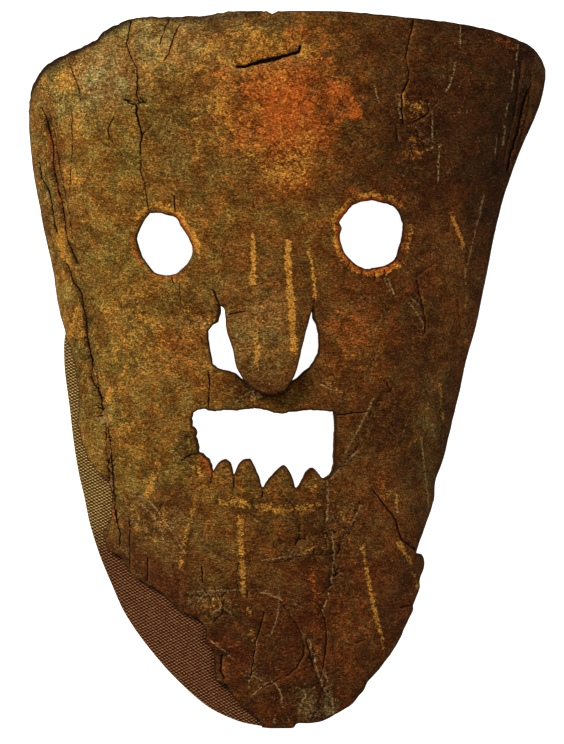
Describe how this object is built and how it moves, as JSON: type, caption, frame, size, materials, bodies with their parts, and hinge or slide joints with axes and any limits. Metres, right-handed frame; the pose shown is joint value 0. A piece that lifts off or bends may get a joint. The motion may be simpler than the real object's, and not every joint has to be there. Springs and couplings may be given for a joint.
{
  "type": "medieval mask",
  "caption": "Moulded leather face mask with eye holes, a cut nose tongue, a toothed mouth and woven cloth behind its torn cheek.",
  "frame": {"origin": "middle of the mask's outline seen from the front, on the surface that it lies on", "axes": "+X to the right of the face as a viewer sees it, +Y up the face to the forehead, +Z out of the face; the mask lies hollow side down"},
  "size_m": [0.1676, 0.23, 0.0345],
  "materials": {
    "leather": "old, dry and grained, with a dull wax sheen",
    "cloth": "matt twill weave"
  },
  "bodies": {
    "root": {"leather_mask": "leather", "backing_cloth": "cloth"}
  },
  "joints": []
}
